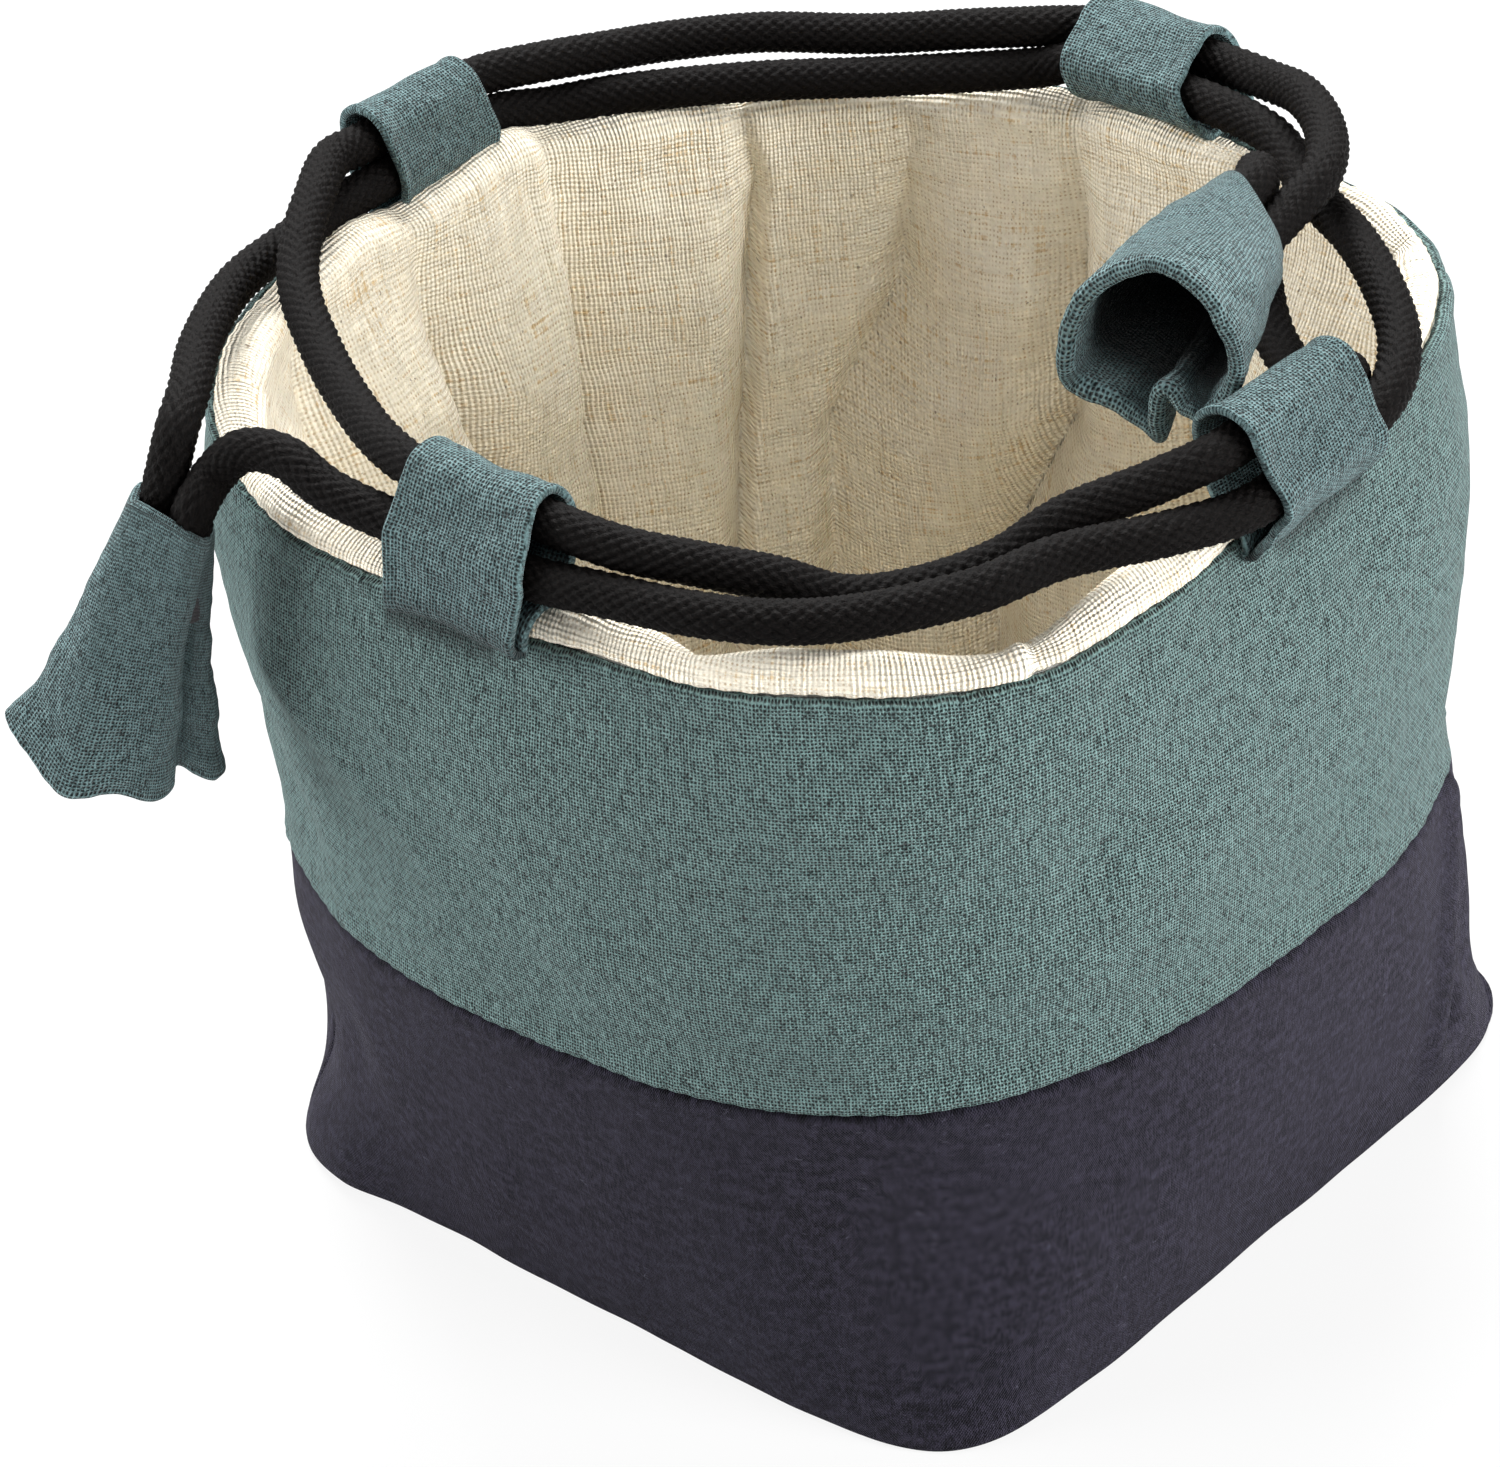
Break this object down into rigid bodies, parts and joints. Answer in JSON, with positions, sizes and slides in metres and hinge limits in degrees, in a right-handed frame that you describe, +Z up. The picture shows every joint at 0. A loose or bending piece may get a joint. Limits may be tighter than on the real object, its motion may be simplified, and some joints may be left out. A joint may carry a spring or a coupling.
{
  "type": "drawstring storage bag",
  "caption": "Square-bottomed padded cloth bag with a lining folded over its open rim, cloth loops on the rim and double drawstrings that end in cloth bells.",
  "frame": {"origin": "middle of the flat bottom of the bag, on the surface that it stands on", "axes": "+Z up out of the mouth, walls along X and Y, the front corner at +X -Y"},
  "size_m": [0.1773, 0.1989, 0.1514],
  "materials": {
    "upper_cloth": "matt crinkled cotton, grey-green blue",
    "lower_cloth": "matt plain cotton, dark indigo",
    "lining": "matt slubbed linen, natural cream",
    "wadding": "matt felted fibre, off-white",
    "cord": "braided cord, black, dull sheen",
    "thread": "wound sewing thread, black"
  },
  "bodies": {
    "bag": {"upper_outer_front": "upper_cloth", "upper_outer_back": "upper_cloth", "lower_outer_front": "lower_cloth", "lower_outer_back": "lower_cloth", "outer_base": "lower_cloth", "wall_wadding_front": "wadding", "wall_wadding_back": "wadding", "base_wadding": "wadding", "lining_front": "lining", "lining_back": "lining", "lining_base": "lining", "cord_loop_front_left": "upper_cloth", "cord_loop_front_right": "upper_cloth", "cord_loop_back_right": "upper_cloth", "cord_loop_back_left": "upper_cloth", "left_drawstring": "cord", "right_drawstring": "cord"},
    "left_bell": {"left_end_cover": "upper_cloth", "left_end_binding": "thread"},
    "right_bell": {"right_end_cover": "upper_cloth", "right_end_binding": "thread"}
  },
  "joints": [
    {"name": "left_bell_swing", "type": "hinge", "parent": "bag", "child": "left_bell", "pos_m": [-0.0505, -0.0816, 0.1205], "axis": [-0.8713, 0.4907, 0], "range_deg": [0, 75], "deforming": ["left_drawstring"]},
    {"name": "right_bell_swing", "type": "hinge", "parent": "bag", "child": "right_bell", "pos_m": [0.0444, 0.0415, 0.138], "axis": [-0.972, -0.235, 0], "range_deg": [0, 70], "deforming": ["right_drawstring"]}
  ]
}
